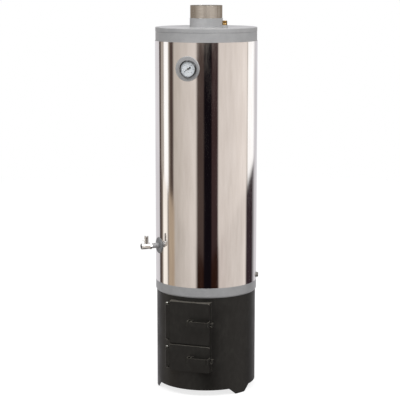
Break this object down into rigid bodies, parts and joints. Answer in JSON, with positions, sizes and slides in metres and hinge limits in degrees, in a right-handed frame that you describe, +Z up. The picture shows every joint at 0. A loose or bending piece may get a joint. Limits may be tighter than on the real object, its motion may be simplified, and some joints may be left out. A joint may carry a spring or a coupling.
{
  "type": "wood-fired water heater",
  "caption": "Tall round wood-fired water heater: black firebox with two hinged doors under an insulated tank in a polished jacket, with flue spigot, thermometer and safety valve.",
  "frame": {"origin": "on the heater's vertical axis at floor level, between the three feet", "axes": "+Z up along the flue, doors face -Y, +X to the right of someone facing the doors"},
  "size_m": [0.4295, 0.4541, 1.564],
  "materials": {
    "black_stove_paint": "satin heat-proof paint",
    "grey_enamel": "satin grey powder coat",
    "bare_steel": "rolled steel",
    "polished_stainless": "mirror-polished stainless sheet",
    "brushed_stainless": "satin stainless",
    "zinc_steel": "zinc plated",
    "cast_iron": "as cast",
    "foam": "rigid foam",
    "brass": "machined",
    "chrome": "polished",
    "white_dial": "printed",
    "clear_glass": "clear",
    "black_needle": "enamelled",
    "nickel_brass": "nickel-plated brass"
  },
  "bodies": {
    "root": {"firebox_shell": "black_stove_paint", "firebox_floor": "black_stove_paint", "door_frame": "black_stove_paint", "hinge_lugs": "black_stove_paint", "hinge_pins": "zinc_steel", "latch_catches": "black_stove_paint", "grate": "cast_iron", "grate_ring": "black_stove_paint", "tank_seat": "black_stove_paint", "tank_shell": "bare_steel", "tank_bottom_head": "bare_steel", "tank_top_head": "bare_steel", "flue_tube": "bare_steel", "flue_spigot": "brushed_stainless", "insulation": "foam", "jacket": "polished_stainless", "jacket_seam": "polished_stainless", "bottom_band": "grey_enamel", "top_band": "grey_enamel", "top_lid": "grey_enamel", "flue_collar": "grey_enamel", "hot_outlet_boss": "grey_enamel", "hot_outlet_nipple": "brass", "drain_socket": "grey_enamel", "drain_plug": "nickel_brass", "gauge_rosette": "grey_enamel", "gauge_case": "chrome", "gauge_dial": "white_dial", "gauge_bezel": "chrome", "gauge_glass": "clear_glass", "gauge_arbor": "brass", "probe_pocket": "bare_steel", "gauge_probe": "brass", "inlet_pipe": "grey_enamel", "valve_rosette": "grey_enamel", "valve_nut": "nickel_brass", "valve_body": "nickel_brass", "relief_bonnet": "nickel_brass", "relief_spring": "zinc_steel", "discharge_barb": "nickel_brass"},
    "fire_door": {"fire_door_pan": "black_stove_paint", "fire_door_hinge_tube": "black_stove_paint", "fire_door_baffle": "bare_steel", "baffle_spacers": "bare_steel", "fire_latch_rivet": "zinc_steel"},
    "ash_door": {"ash_door_pan": "black_stove_paint", "ash_door_hinge_tube": "black_stove_paint", "ash_latch_rivet": "zinc_steel"},
    "fire_latch": {"fire_latch_lever": "black_stove_paint"},
    "ash_latch": {"ash_latch_lever": "black_stove_paint"},
    "gauge_needle": {"gauge_needle": "black_needle"},
    "relief_knob": {"relief_knob": "nickel_brass"},
    "relief_spindle": {"relief_spindle": "nickel_brass"}
  },
  "joints": [
    {"name": "fire_door_swing", "type": "hinge", "parent": "root", "child": "fire_door", "pos_m": [-0.0945, -0.205, 0.3], "axis": [0, 0, -1], "range_deg": [0, 120]},
    {"name": "ash_door_swing", "type": "hinge", "parent": "root", "child": "ash_door", "pos_m": [-0.0945, -0.205, 0.16], "axis": [0, 0, -1], "range_deg": [0, 120]},
    {"name": "fire_latch_turn", "type": "hinge", "parent": "fire_door", "child": "fire_latch", "pos_m": [0.012, -0.213, 0.3095], "axis": [0, -1, 0], "range_deg": [-3, 20]},
    {"name": "ash_latch_turn", "type": "hinge", "parent": "ash_door", "child": "ash_latch", "pos_m": [0.012, -0.213, 0.159], "axis": [0, -1, 0], "range_deg": [-3, 20]},
    {"name": "needle_sweep", "type": "hinge", "parent": "root", "child": "gauge_needle", "pos_m": [0, -0.2145, 1.3225], "axis": [0, 1, 0], "range_deg": [-12, 258]},
    {"name": "relief_turn", "type": "hinge", "parent": "root", "child": "relief_knob", "pos_m": [-0.1947, -0.17531, 0.636], "axis": [0, 0, 1], "range_deg": [0, 90]},
    {"name": "relief_lift", "type": "slide", "parent": "root", "child": "relief_spindle", "axis": [0, 0, 1], "range_m": [0, 0.0015], "deforming": ["relief_spring"]}
  ],
  "couplings": [
    {"joint": "relief_lift", "follows": "relief_turn", "m_per_rad": 0.00095493}
  ]
}
